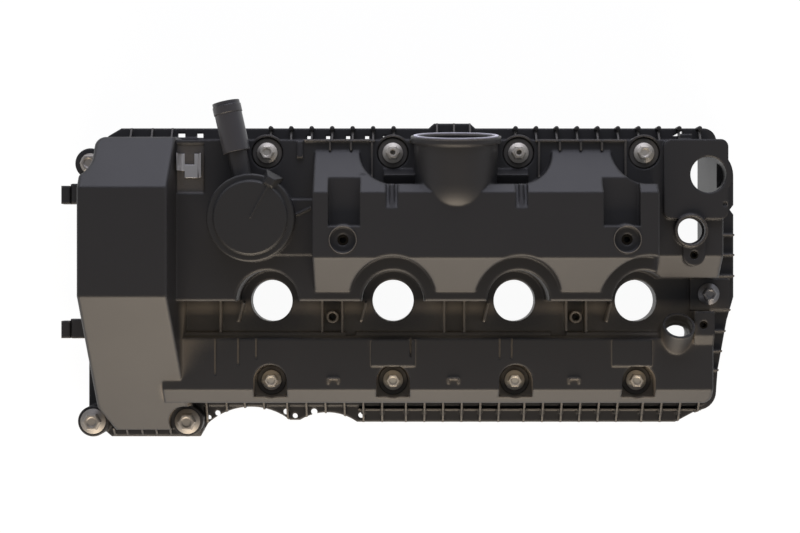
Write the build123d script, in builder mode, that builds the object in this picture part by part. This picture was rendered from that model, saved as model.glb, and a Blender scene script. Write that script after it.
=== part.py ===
from build123d import *
import os
from math import cos, radians, sin

# Engine valve cover of one bank of a V8, in millimetres.
# The origin is on the sealing plane, under the middle of the row of plug wells. +X runs along the row, away
# from the timing end, +Y is the inboard side and +Z is up, out of the engine.

# Plug wells, one per cylinder
bore_pitch = 98.0
well_count = 4
well_radius = 16.8
well_wall = 3.7
well_collar_z = 27.5
well_skirt_bore = 21.5
well_skirt_radius = 24.5
spigot_radius = 23.3
seal_seat_z = 8.0
seal_out = 26.5
seal_chamfer = 1.5
well_x = [bore_pitch * (i - (well_count - 1) / 2) for i in range(well_count)]

# Levels above the sealing plane
floor_z = 45.0
cam_z = 62.0
plateau_z = 87.0
box_z = 114.0
dome_z = 120.0
flange_t = 4.5
wall = 3.0
open_z = -6.0

# Outer walls of the main body
north_y = 126.5
south_y = -82.0
body_right_x = 206.5
body_corner_radius = 7.0
plateau_edge_y = 0.5
well_scoop_radius = 24.5
joggle = 20.0

# Timing-end dome
dome_left_x = -288.8
dome_right_x = -213.0
dome_step_radius = 18.0
dome_draft = 7.1
dome_north_y = 128.5
dome_south_y = -106.5
dome_north_z = 90.0
dome_south_z = 25.0
dome_ridge_y = (4.5, 88.0)
dome_corner = (12.0, 20.0)
dome_corner_radius = 8.0
dome_step_corner = 4.0
edge_radius = 2.5
form_edge_radius = 1.8

# Raised box in the middle
box_left_x = -110.4
box_right_x = 154.6
box_south_y = 7.7
box_north_y = 118.4
box_ridge_y = (34.1, 84.3)
box_scoop_radius = 33.6
box_scoop_y = 2.0
box_recess_y = 91.0
screw_scoop_radius = 25.3

# Low dome over the outboard cam
cam_foot_y = -24.5
cam_step_z = 52.0
cam_edge_y = -29.4
cam_ridge_y = -70.8
cam_shoulder_z = 52.0

# Right end
end_x = 209.0
end_left_x = 150.0
end_foot_y = 18.5
end_ridge_y = 35.8
end_foot_z = 70.0

# Foot rim with the gasket groove
rim_out = 6.5
rim_h = 10.0
groove_in = 1.2
groove_w = 4.0
groove_depth = 5.5
gasket_gap = 0.1
gasket_stand = 1.2

# Screws of the two rows
inboard_y = 116.2
outboard_y = -64.0
inboard_seat_z = 84.0
outboard_seat_z = 45.0
screw_radius = 3.0
screw_shank_radius = 2.6
screw_stick_out = 16.0
thread_top_z = -0.5
screw_bore = 3.8
screw_head_af = 10.0
screw_head_h = 6.0
screw_flange_radius = 8.0
screw_flange_h = 1.6
flange_rim = 0.8
head_dish = 0.9
socket_wall = 1.4
socket_collar = 1.0
boss_radius = 11.0
post_radius = 7.0
boss_clear = 0.5
pocket_depth = 12.0
grommet_radius = 8.5
socket_radius = 2.1
grommet_lip_radius = 11.8
grommet_lip = 1.6
grommet_chamfer = 0.6
sleeve_in = 3.6
sleeve_out = 5.2
fit_gap = 0.1
sleeve_proud = 0.3
well_slot_radius = 13.4
well_slot_end_y = -76.5
inboard_well_radius = 12.4
inboard_boss_radius = 14.4

# Larger bolts round the dome and at the right end
timing_places = [(-296.0, -99.8), (-218.3, -99.8), (-298.2, 112.4)]
timing_seat_z = 22.0
dome_step_x = timing_places[2][0] + dome_step_radius
timing_lug_radius = 12.6
timing_notch_radius = 14.0
timing_post_radius = 9.6
big_radius = 4.0
big_shank_radius = 3.5
big_bore = 6.4
big_sleeve_in = 4.6
big_flange_radius = 10.4
hidden_flange_radius = 8.4
big_head_af = 13.0
big_head_h = 8.0
big_flange_h = 2.4
end_flange_radius = 8.7
end_head_af = 10.0
end_bolt_place = (204.8, 5.5)
end_seat_z = 50.0
end_block = (190.0, 222.0, -7.3, 18.0)
end_block_t = 11.0
end_bay = (189.0, 240.0, -9.5, 20.5)

# Vent chamber, cap and outlet pipe
vent_place = (-158.0, 65.0)
chamber_radius = 33.0
chamber_top = 106.0
chamber_floor = 86.0
chamber_bore = 28.3
chamber_under_z = 80.0
bayonet_radius = 31.0
bayonet_low = 97.0
bayonet_high = 101.5
valve_seat_radius = 8.5
valve_seat_z = 88.6
valve_bore = 6.0
lug_count = 3
lug_start = 60.0
lug_width = 11.0
lug_reach = 30.3
lug_play = 0.8
entry_reach = 30.9
cap_turn = 30.0
cap_gap = 0.2
skirt_radius = 28.0
skirt_wall = 2.6
skirt_z = 97.4
lug_h = 3.6
seal_ring_z = (102.6, 104.8)
seal_ring_depth = 1.2
diaphragm_radius = 28.0
spring_wire = 0.7
spring_radius = 7.6
spring_turns = 4.0
spring_height = 14.0
cap_radius = 33.8
cap_band = 3.0
cap_disc_radius = 28.5
cap_disc_h = 2.4
tab_angle = 61.0
tab_middle = 31.6
tab_length = 14.5
tab_width = 15.0
tab_h = 7.0
tab_slope = 32.0
cap_edge = 1.0
cap_ridge = (1.2, 0.5)
neck_radius = 7.75
neck_bore = 5.0
pipe_lean = 12.6
neck_start = 26.0
neck_end = 68.0
pipe_start = 52.5
pipe_end = 91.7
pipe_z = 98.0
pipe_radius = 10.6
pipe_bead_radius = 11.1
pipe_bead_length = 9.0
pipe_bore = 8.4

# Round actuator port
port_rim_y = 128.6
port_z = 94.0
port_tilt = 9.0
port_radius = 32.5
port_rim_radius = 35.0
port_rim_length = 5.0
port_bore = 28.5
port_collar = 14.0
port_straight = 34.0
port_length = 63.0
port_seal_in = 30.2
port_seal_out = 33.0
port_seal_depth = 2.0
port_seal_stand = 0.8

# Spring clip of folded strip
clip_x = (-216.6, -197.6)
clip_y = (96.8, 115.5)
clip_t = 0.9
clip_top_z = 95.5
clip_lean = 1.8
clip_bend = 3.2
clip_gap_x = (-211.4, -203.8)
clip_gap_y = 107.0
clip_foot_y = 102.2
clip_panel = (-217.4, -196.3, 85.0, 123.4)
clip_panel_depth = 1.3

# Sensor openings at the right end
filler_place = (196.1, 99.0)
filler_radius = 14.0
filler_boss = 18.7
plate_box = (161.6, 211.6, 64.5, 126.6)
plate_z = 92.0
plate_under_z = 76.0
plate_corner = 6.0
filler_under_z = 76.0
filler_boss_z = 70.0
sensor_place = (182.6, 55.5)
sensor_radius = 9.6
sensor_cup = 10.8
sensor_boss = 12.8
sensor_z = 95.0
sensor_screw_place = (185.3, 36.5)
sensor_screw_z = 90.5
sensor_screw_boss = 8.5
cam_sensor_place = (177.3, -19.1, 70.0)
cam_sensor_tilt = 40.0
cam_sensor_depth = 42.0
cam_sensor_boss = 12.8
cam_sensor_collar = 22.0
cam_sensor_lip = (-12.0, -8.0)
cam_sensor_well = (177.3, -26.2)
cam_sensor_well_z = 57.0
cam_screw_place = (197.7, -18.8)
cam_screw_z = 66.0
cam_pad_x = 190.6
cam_pad_y_steps = (-8.0, -27.0, -36.0)

# Threaded inserts
cup_places = [(-87.0, 47.9), (130.0, 48.2)]
cup_pocket = [(-98.3, -73.9), (111.8, 140.0)]
cup_pocket_y = 58.5
cup_pocket_z = 104.6
cup_radius = 9.9
cup_depth = 3.0
cup_ring = (0.8, 0.7)
cup_step = 0.5
valley_places = [(-97.5, -12.8), (97.5, -12.8)]
valley_boss_z = 55.0
insert_thread = 2.5
insert_out = 4.2
insert_length = 10.0
small_thread = 2.1
small_out = 3.1
small_length = 8.0
insert_wall = 1.8

# Baffle plate of the oil separator
baffle_box = (-188.0, -64.0, 34.0, 102.0)
baffle_z = 72.0
baffle_t = 2.0
baffle_lip = 4.0
baffle_screw_x = (-180.0, -114.0, -72.0)
baffle_screw_y = (41.0, 95.0)
baffle_post = 4.2
baffle_screw_radius = 1.6
baffle_screw_head = 3.6
baffle_screw_grip = 8.0
baffle_slot_pitch = 20.0
baffle_slot = (10.0, 2.4)

# Flange outline
flange_left_x = -303.0
flange_north_y = 143.0
flange_south_y = -102.1
flange_right_x = 235.0
bump_y = 147.0
bump_half = (15.0, 19.5)

# Ribs of the flange
rib_t = 1.6
rib_root_z = 20.0
rib_tip_z = 7.0
rib_bite = 0.5
outboard_rib_start = 10.5
outboard_rib_pitch = 15.4
outboard_ribs_per_bay = 6
scallop_rib_x = [-203.6, -186.9, -171.8, -156.0, -136.8, -120.9, -105.1, -89.3]
outboard_first_x = [-73.8, -58.2]
rail_y = -91.1
rail_z = 12.0
rail_start_x = -78.0
node_y = -93.4
node_radius = 2.1
node_z = 11.0
dome_rib_x = [-280.3, -269.5, -257.0, -245.3, -233.6]
dome_rib_z = 17.0
end_rib_y = [53.9, 37.2, 19.7, -8.7, -26.2, -42.9, -58.8]
inboard_rib_pitch = 17.0
inboard_rib_left = [-48.7 - inboard_rib_pitch * i for i in range(7)]
inboard_rib_right = [52.6 + inboard_rib_pitch * i for i in range(10)]
inboard_rib_dome = [-267.1, -249.6, -233.0]
bump_rib_x = [-12.6, 1.5, 14.8]
ridge_y = 142.4
ridge_radius = 1.9
ridge_z = 12.0
slot_size = (3.4, 2.6)
slot_y = 135.4
slot_x = [-119.3, -103.5, -86.8, -70.9, -55.9, 60.0]
window_size = [(-225.9, 6.2), (-210.4, 5.4)]
window_y = (135.2, 138.8)
drain_holes = [
    (-195.7, -95.0, 2.4),
    (-202.8, -98.4, 1.9),
    (-138.5, -93.8, 2.5),
    (-131.0, -97.2, 2.2),
    (-115.1, -93.8, 2.7),
    (-75.9, -96.7, 2.4),
]

# Ribs, lips and pads on the moulding's upper side
lip_t = 1.6
lip_h = 2.4
lip_spans = [(-118.0, -63.0), (-36.0, -34.0), (62.0, 133.0)]
lip_rib_x = [-97.9, -81.5, 81.1, 97.4, 113.8]
lip_rib_long_x = [-65.2, 64.8, 132.1]
lip_rib_long_y = 97.0
valley_rib_x = [-187.0, -105.6, -89.6, -8.0, 8.0, 89.6, 105.6]
valley_rib_z = (58.0, 50.0)
gusset_offset = (-23.6, -9.0)
gusset_size = (1.8, 16.0)
gusset_turn = -14.0
gusset_z = 60.0
channel_x = [-49.5, 49.5]
channel_half = 4.6
channel_y = (72.0, 92.0)
channel_end_z = 104.0
channel_rib_half = 1.8
channel_rib_end_z = 107.5
wing_x = (20.0, 56.0)
wing_y = (90.5, 98.5, 104.0)
wing_z = (92.0, 97.0)
vent_rib = (-123.7, -119.0, 112.5, 125.4)
vent_rib_z = (89.8, 88.2)
vent_pad = (-153.0, -110.0, 36.5, 80.0)
vent_pad_h = 0.8
vent_brace = (-118.6, 70.5, 13.0)
vent_brace_turn = 25.0
vent_brace_h = 1.6
pad_h = 1.2
cam_pads = [(-66.5, -31.4), (125.5, 157.3)]
cam_pad_y = (-52.0, -30.4)
cam_lines = [(-190.8, -58.8), (-172.4, -51.0), (-158.1, -46.0), (-35.0, -44.0), (36.0, -46.0), (45.6, -46.0)]
cam_line_t = 1.4
cam_line_depth = 1.0
staple_x = [-96.6, -0.8, 95.2]
staple_y = (-66.0, -61.2)
staple_half = 4.6
staple_t = 1.1
staple_h = 2.0
cam_notches = [(-87.0, -79.0), (78.0, 90.0)]
cam_notch_y = (-28.2, -24.0)
flange_gap = [(184.5, 136.6), (192.5, 136.6), (192.5, 141.0)]
plate_dimple = (209.0, 76.0, 1.6)
plate_tab = (174.7, 184.0, 124.0, 131.0)
plate_tab_z = (80.0, 88.0)

# Side clips moulded on the left edge
side_clip_y = [(79.6, 96.2), (-31.9, -16.0)]
side_clip_x = -324.5
side_clip_z = 15.0
side_clip_groove_x = (-317.4, -315.0)
side_clip_groove_z = 9.0
side_clip_nose_z = 12.5

os.makedirs("parts", exist_ok=True)


# Plain helpers

def slab(x, y, z, mode=Mode.ADD, corner=0.0):
    """A block between two limits on each axis, its upright corners rounded if asked."""
    with BuildSketch(Plane.XY.offset(z[0])) as foot:
        with Locations(((x[0] + x[1]) / 2, (y[0] + y[1]) / 2)):
            if corner > 0:
                RectangleRounded(x[1] - x[0], y[1] - y[0], corner)
            else:
                Rectangle(x[1] - x[0], y[1] - y[0])
    extrude(foot.sketch, amount=z[1] - z[0], mode=mode)


def post(place, radius, z, mode=Mode.ADD):
    """An upright cylinder."""
    with BuildSketch(Plane.XY.offset(z[0])) as foot:
        with Locations(place):
            Circle(radius)
    extrude(foot.sketch, amount=z[1] - z[0], mode=mode)


def across(points, x, mode=Mode.ADD, inset=0.0):
    """A profile of (y, z) points pulled along X, shrunk by the inset."""
    with BuildSketch(Plane.YZ.offset(x[0])) as profile:
        with BuildLine():
            Polyline(*points, close=True)
        make_face()
        if inset > 0:
            offset(amount=-inset, kind=Kind.INTERSECTION)
    extrude(profile.sketch, amount=x[1] - x[0], mode=mode)


def along(points, y, mode=Mode.ADD, inset=0.0):
    """A profile of (x, z) points pulled along Y, shrunk by the inset."""
    with BuildSketch(Plane.XZ.offset(-y[1])) as profile:
        with BuildLine():
            Polyline(*points, close=True)
        make_face()
        if inset > 0:
            offset(amount=-inset, kind=Kind.INTERSECTION)
    extrude(profile.sketch, amount=y[1] - y[0], mode=mode)


# Planes of the tilted tubes

port_plane = Plane(
    origin=(0, port_rim_y, port_z),
    x_dir=(1, 0, 0),
    z_dir=(0, cos(radians(port_tilt)), sin(radians(port_tilt))),
)
cam_sensor_plane = Plane(
    origin=cam_sensor_place,
    x_dir=(1, 0, 0),
    z_dir=(0, sin(radians(cam_sensor_tilt)), cos(radians(cam_sensor_tilt))),
)
pipe_direction = Vector(-sin(radians(pipe_lean)), cos(radians(pipe_lean)), 0)
pipe_plane = Plane(
    origin=(vent_place[0], vent_place[1], pipe_z),
    x_dir=(0, 0, 1),
    z_dir=pipe_direction,
)


# Main forms of the moulding, each made solid with no inset and again, one wall smaller, as its hollow

def dome_outline(inset=0.0):
    """Plan of the timing-end dome, stepped in round the inboard timing bolt."""
    cut_x, cut_y = dome_corner
    bolt_x, bolt_y = timing_places[2]
    with BuildSketch() as plan:
        with BuildLine():
            Polyline(
                (dome_right_x, dome_south_y),
                (dome_right_x, dome_north_y),
                (dome_step_x, dome_north_y),
                (dome_step_x, bolt_y),
                (dome_left_x, bolt_y),
                (dome_left_x, dome_south_y + cut_y),
                (dome_left_x + cut_x, dome_south_y),
                close=True,
            )
        make_face()
        with Locations((bolt_x, bolt_y)):
            Circle(dome_step_radius, mode=Mode.SUBTRACT)
        left_corners = plan.vertices().sort_by(Axis.X)
        fillet(left_corners[:2], dome_step_corner)
        north_corners = plan.vertices().filter_by_position(Axis.Y, dome_north_y - 1, dome_north_y + 1)
        fillet(north_corners.sort_by(Axis.X)[0], dome_corner_radius)
        if inset > 0:
            offset(amount=-inset, kind=Kind.INTERSECTION)
    return plan.sketch


def dome_form(inset, base):
    """Tall dome over the timing drive: two sloping facets, a flat top and a drafted right wall."""
    with BuildPart() as form:
        extrude(dome_outline(inset).moved(Location((0, 0, base))), amount=dome_z - inset - base)
        facets = [
            (dome_south_y, 4 * open_z),
            (dome_north_y, 4 * open_z),
            (dome_north_y, dome_north_z),
            (dome_ridge_y[1], dome_z),
            (dome_ridge_y[0], dome_z),
            (dome_south_y, dome_south_z),
        ]
        across(facets, (dome_left_x - wall, dome_right_x + wall), Mode.INTERSECT, inset)
        draft = [
            (dome_left_x, 4 * open_z),
            (dome_right_x, 4 * open_z),
            (dome_right_x, 0),
            (dome_right_x - dome_draft, dome_z),
            (dome_left_x, dome_z),
        ]
        along(draft, (dome_south_y, dome_north_y), Mode.INTERSECT, inset)
        if inset == 0:
            slanted = [
                edge for edge in form.edges()
                if edge.center().Z > dome_south_z and abs((edge @ 1 - edge @ 0).Z) < 0.9 * edge.length
            ]
            fillet(slanted, edge_radius)
    return form.part


def plateau_form(inset, base):
    """High level behind the plug wells, scooped round each of them."""
    with BuildPart() as form:
        slab(
            (dome_right_x - joggle + inset, box_right_x + wall - inset),
            (plateau_edge_y + inset, north_y - inset),
            (base, plateau_z - inset),
        )
        end_profile = [
            (end_foot_y, 4 * open_z),
            (north_y, 4 * open_z),
            (north_y, plateau_z),
            (end_ridge_y, plateau_z),
            (end_foot_y, end_foot_z),
        ]
        with BuildSketch(Plane.YZ.offset(end_left_x)) as side:
            with BuildLine():
                Polyline(*end_profile, close=True)
            make_face()
            if inset > 0:
                offset(amount=-inset, kind=Kind.INTERSECTION)
        extrude(side.sketch, amount=end_x - inset - end_left_x)
        if inset == 0:
            slab((dome_left_x, end_x), (south_y, north_y), (4 * open_z, base), Mode.SUBTRACT)
        for x in well_x:
            post((x, 0), well_scoop_radius + inset, (4 * open_z, plateau_z), Mode.SUBTRACT)
        if inset == 0:
            rims = [
                edge for edge in form.edges()
                if edge.center().Z > end_foot_z - 1 and edge.center().Y < north_y - 1 and edge.length > wall
            ]
            fillet(rims, form_edge_radius)
    return form.part


def box_form(inset, base):
    """Raised box: two facets in section, and scoops round the wells and the inboard screws in plan."""
    with BuildPart() as form:
        slab(
            (box_left_x + inset, box_right_x - inset),
            (box_south_y + inset, box_north_y - inset),
            (base, box_z - inset),
        )
        for x in well_x[1:]:
            post((x, box_scoop_y), box_scoop_radius + inset, (base, box_z), Mode.SUBTRACT)
            post((x, inboard_y), screw_scoop_radius + inset, (base, box_z), Mode.SUBTRACT)
        recess = (box_recess_y - inset, box_north_y)
        slab((well_x[1], well_x[2]), recess, (base, box_z), Mode.SUBTRACT)
        slab((well_x[3], box_right_x), recess, (base, box_z), Mode.SUBTRACT)
        facets = [
            (box_south_y, base - wall),
            (box_north_y, base - wall),
            (box_north_y, plateau_z),
            (box_ridge_y[1], box_z),
            (box_ridge_y[0], box_z),
            (box_south_y, plateau_z),
        ]
        across(facets, (box_left_x, box_right_x), Mode.INTERSECT, inset)
        if inset == 0:
            fillet([edge for edge in form.edges() if edge.center().Z > plateau_z + 1], form_edge_radius)
    return form.part


def cam_form(inset, base):
    """Low dome over the outboard cam, with a stepped inner side and a sloping outer shoulder."""
    with BuildPart() as form:
        if inset > 0:
            section = [
                (cam_edge_y - inset / 2, base),
                (cam_edge_y - inset / 2, cam_z - inset),
                (cam_ridge_y + inset / 2, cam_z - inset),
                (south_y + inset, cam_shoulder_z - inset / 2),
                (south_y + inset, base),
            ]
        else:
            section = [
                (cam_foot_y, base),
                (cam_foot_y, floor_z),
                (cam_foot_y - 1.0, cam_step_z),
                (cam_edge_y + 1.8, cam_step_z),
                (cam_edge_y, cam_z),
                (cam_ridge_y, cam_z),
                (south_y, cam_shoulder_z),
                (south_y, base),
            ]
        across(section, (dome_right_x - joggle, body_right_x - inset))
        corner_place = (body_right_x, south_y, cam_shoulder_z / 2)
        corner = form.edges().filter_by(Axis.Z).sort_by_distance(corner_place)[0]
        fillet(corner, body_corner_radius - inset)
        if inset == 0:
            brow = [edge for edge in form.edges() if edge.center().Z > cam_shoulder_z + wall]
            fillet(brow, form_edge_radius)
    return form.part


def body_form(inset, z):
    """Lower body under all the levels, its outboard right corner rounded."""
    with BuildPart() as form:
        slab(
            (dome_right_x - joggle + inset, body_right_x - inset),
            (south_y + inset, north_y - inset),
            z,
        )
        corner_place = (body_right_x, south_y, sum(z) / 2)
        corner = form.edges().filter_by(Axis.Z).sort_by_distance(corner_place)[0]
        fillet(corner, body_corner_radius - inset)
    return form.part


def well_slot(radius, end_y, z):
    """Upright slots round the outboard screws, open towards the shoulder, as one sketch pulled up."""
    with BuildSketch(Plane.XY.offset(z[0])) as slots:
        for x in well_x:
            with Locations((x, outboard_y)):
                Circle(radius)
            with Locations((x, (outboard_y + end_y) / 2)):
                Rectangle(2 * radius, outboard_y - end_y)
    extrude(slots.sketch, amount=z[1] - z[0], mode=Mode.SUBTRACT)


def footprint(grow):
    """Plan of the body's outer walls at the foot, grown or shrunk."""
    with BuildSketch() as plan:
        add(dome_outline())
        main_x = (dome_right_x - joggle, body_right_x)
        with Locations(((main_x[0] + main_x[1]) / 2, (south_y + north_y) / 2)):
            Rectangle(main_x[1] - main_x[0], north_y - south_y)
        with Locations(((end_left_x + end_x) / 2, (end_foot_y + north_y) / 2)):
            Rectangle(end_x - end_left_x, north_y - end_foot_y)
        with Locations(((end_bay[0] + end_bay[1]) / 2, (end_bay[2] + end_bay[3]) / 2)):
            Rectangle(end_bay[1] - end_bay[0], end_bay[3] - end_bay[2], mode=Mode.SUBTRACT)
        if grow > 0:
            offset(amount=grow, kind=Kind.ARC)
        if grow < 0:
            offset(amount=grow, kind=Kind.INTERSECTION)
    return plan.sketch


def cylinder_on(plane, radius, z, mode=Mode.ADD):
    """A cylinder along a tilted plane's own normal."""
    with BuildSketch(plane.offset(z[0])) as foot:
        Circle(radius)
    extrude(foot.sketch, amount=z[1] - z[0], mode=mode)


def port_form(inset):
    """Round port: a straight barrel with a rim, closed inboard by a rounded nose."""
    radius = port_radius - inset
    tip_z = inset - port_length
    half_plane = Plane(origin=port_plane.origin, x_dir=port_plane.x_dir, z_dir=-port_plane.y_dir)
    with BuildPart() as form:
        with BuildSketch(half_plane) as half:
            with BuildLine():
                Polyline((0, tip_z), (0, 0), (radius, 0), (radius, -port_straight))
                Spline((radius, -port_straight), (0, tip_z), tangents=((0, -1), (-1, 0)))
            make_face()
        revolve(half.sketch, axis=Axis(port_plane.origin, port_plane.z_dir))
        if inset == 0:
            cylinder_on(port_plane, port_rim_radius, (-port_rim_length, 0))
    return form.part


# Hollow: the same forms one wall smaller, kept clear of every sunken screw place and pocket
inner_forms = [
    body_form(wall, (open_z, floor_z - wall)),
    plateau_form(wall, open_z),
    box_form(wall, plateau_z - 4 * wall),
    cam_form(wall, open_z),
    dome_form(wall, open_z),
    port_form(wall),
]
channel_under = [
    (channel_y[0] - wall, dome_z),
    (channel_y[0] - wall, box_z - wall),
    (channel_y[1] + wall, channel_end_z - 1.5 * wall),
    (channel_y[1] + wall, dome_z),
]
with BuildPart() as hollow:
    for form in inner_forms:
        add(form)
    for x in channel_x:
        across(channel_under, (x - channel_half - wall, x + channel_half + wall), Mode.SUBTRACT)
    slab(
        (end_bay[0] - wall, end_bay[1]),
        (end_bay[2] - wall, end_bay[3] + wall),
        (open_z, end_seat_z - end_block_t + wall),
        Mode.SUBTRACT,
    )
    well_slot(well_slot_radius + wall, well_slot_end_y - wall, (outboard_seat_z - wall, cam_z))
    post(timing_places[1], timing_notch_radius + wall, (timing_seat_z - wall, dome_z), Mode.SUBTRACT)
    for pocket_x in cup_pocket:
        slab(
            (pocket_x[0] - wall, pocket_x[1] + wall),
            (cup_pocket_y - wall, north_y),
            (cup_pocket_z - wall, dome_z),
            Mode.SUBTRACT,
        )

# Flange outline: straight inboard edge with a bump behind the port, waisted right end, scalloped outboard
# edge
with BuildSketch() as flange_plan:
    with BuildLine():
        inboard_edge = Polyline(
            (flange_left_x, 104.0),
            (-287.0, 136.5),
            (-276.0, flange_north_y),
            (-bump_half[1], flange_north_y),
            (-bump_half[0], bump_y),
            (bump_half[0], bump_y),
            (bump_half[1], flange_north_y),
            (209.0, flange_north_y),
        )
        far_corner = ThreePointArc(inboard_edge @ 1, (216.7, 140.6), (220.5, 134.5))
        shoulder = Line(far_corner @ 1, (229.0, 119.5))
        bulge = ThreePointArc(shoulder @ 1, (233.4, 112.0), (flange_right_x, 104.0))
        right_edge = Polyline(
            bulge @ 1,
            (flange_right_x, 79.0),
            (flange_right_x - 3.0, 75.0),
            (flange_right_x, 71.0),
            (flange_right_x, 2.2),
            (229.4, -17.0),
            (221.9, -58.8),
            (220.6, -77.2),
        )
        end_corner = ThreePointArc(right_edge @ 1, (216.2, -87.6), (204.7, -92.3))
        outboard_edge = Polyline(
            end_corner @ 1,
            (186.3, flange_south_y),
            (-79.3, flange_south_y),
        )
        scallop_1 = ThreePointArc(outboard_edge @ 1, (-103.0, -94.2), (-126.8, -100.5))
        land = Line(scallop_1 @ 1, (-135.2, -100.5))
        scallop_2 = ThreePointArc(land @ 1, (-168.0, -89.5), (-204.0, -103.5))
        left_edge = Polyline(
            scallop_2 @ 1,
            (-210.0, -114.2),
            (-284.0, -114.2),
            (flange_left_x, -98.0),
            inboard_edge @ 0,
        )
    make_face()
    for place in timing_places:
        with Locations(place):
            Circle(timing_lug_radius)


def rib_bank(places, size, profile):
    """Upright ribs standing on a plan grid, trimmed above by one (y, z) profile."""
    with BuildPart() as bank:
        with BuildSketch() as plan:
            with Locations(*places):
                Rectangle(*size)
        extrude(plan.sketch, amount=dome_z)
        across(profile, (dome_left_x, flange_right_x), Mode.INTERSECT)
    return bank.part


# Outboard flange: cross ribs in groups of six for each cylinder, a rail and round nodes where they cross
bay_rib_x = []
for bay in range(1, well_count):
    bay_start = well_x[bay] + outboard_rib_start
    bay_rib_x += [bay_start + outboard_rib_pitch * i for i in range(outboard_ribs_per_bay)]
straight_rib_x = outboard_first_x + [x for x in bay_rib_x if x < body_right_x]
outboard_rib_x = scallop_rib_x + straight_rib_x
outboard_rib_mid = (flange_south_y + south_y + rib_bite) / 2
outboard_ribs = rib_bank(
    [(x, outboard_rib_mid) for x in outboard_rib_x],
    (rib_t, south_y + rib_bite - flange_south_y),
    [
        (south_y + rib_bite, 0),
        (south_y + rib_bite, rib_root_z),
        (flange_south_y, rib_tip_z),
        (flange_south_y, 0),
    ],
)
inboard_rib_mid = (flange_north_y + north_y - rib_bite) / 2
inboard_ribs = rib_bank(
    [(x, inboard_rib_mid) for x in inboard_rib_left + inboard_rib_right + inboard_rib_dome],
    (rib_t, flange_north_y - north_y + rib_bite),
    [
        (north_y - rib_bite, 0),
        (north_y - rib_bite, rib_root_z),
        (flange_north_y, rib_tip_z),
        (flange_north_y, 0),
    ],
)
bump_ribs = rib_bank(
    [(x, (bump_y + north_y) / 2) for x in bump_rib_x],
    (rib_t, bump_y - north_y + 2 * rib_bite),
    [
        (north_y - rib_bite, 0),
        (north_y - rib_bite, rib_root_z),
        (bump_y, rib_tip_z),
        (bump_y, 0),
    ],
)
dome_ribs = rib_bank(
    [(x, dome_south_y - rim_out / 2) for x in dome_rib_x],
    (rib_t, rim_out + 2 * rib_bite),
    [
        (dome_south_y + rib_bite, 0),
        (dome_south_y + rib_bite, dome_rib_z),
        (dome_south_y - rim_out, rim_h),
        (dome_south_y - rim_out, 0),
    ],
)

# All that stands on the flange, trimmed to its outline
with BuildPart() as flange_ribs:
    add(outboard_ribs)
    add(inboard_ribs)
    add(bump_ribs)
    add(dome_ribs)
    slab((rail_start_x, body_right_x), (rail_y - rib_t / 2, rail_y + rib_t / 2), (0, rail_z))
    with BuildSketch() as nodes:
        with Locations(*[(x, node_y) for x in straight_rib_x]):
            Circle(node_radius)
    extrude(nodes.sketch, amount=node_z)
    with BuildSketch() as end_ribs:
        for y in end_rib_y:
            wall_x = body_right_x - rib_bite
            with Locations(((wall_x + flange_right_x) / 2, y)):
                Rectangle(flange_right_x - wall_x, rib_t)
    extrude(end_ribs.sketch, amount=rib_tip_z + rib_t)
    extrude(flange_plan.sketch, amount=dome_z, mode=Mode.INTERSECT)
    with BuildSketch() as ridges:
        with Locations(*[(x, ridge_y) for x in inboard_rib_left + inboard_rib_right]):
            Circle(ridge_radius)
    extrude(ridges.sketch, amount=ridge_z)

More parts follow.
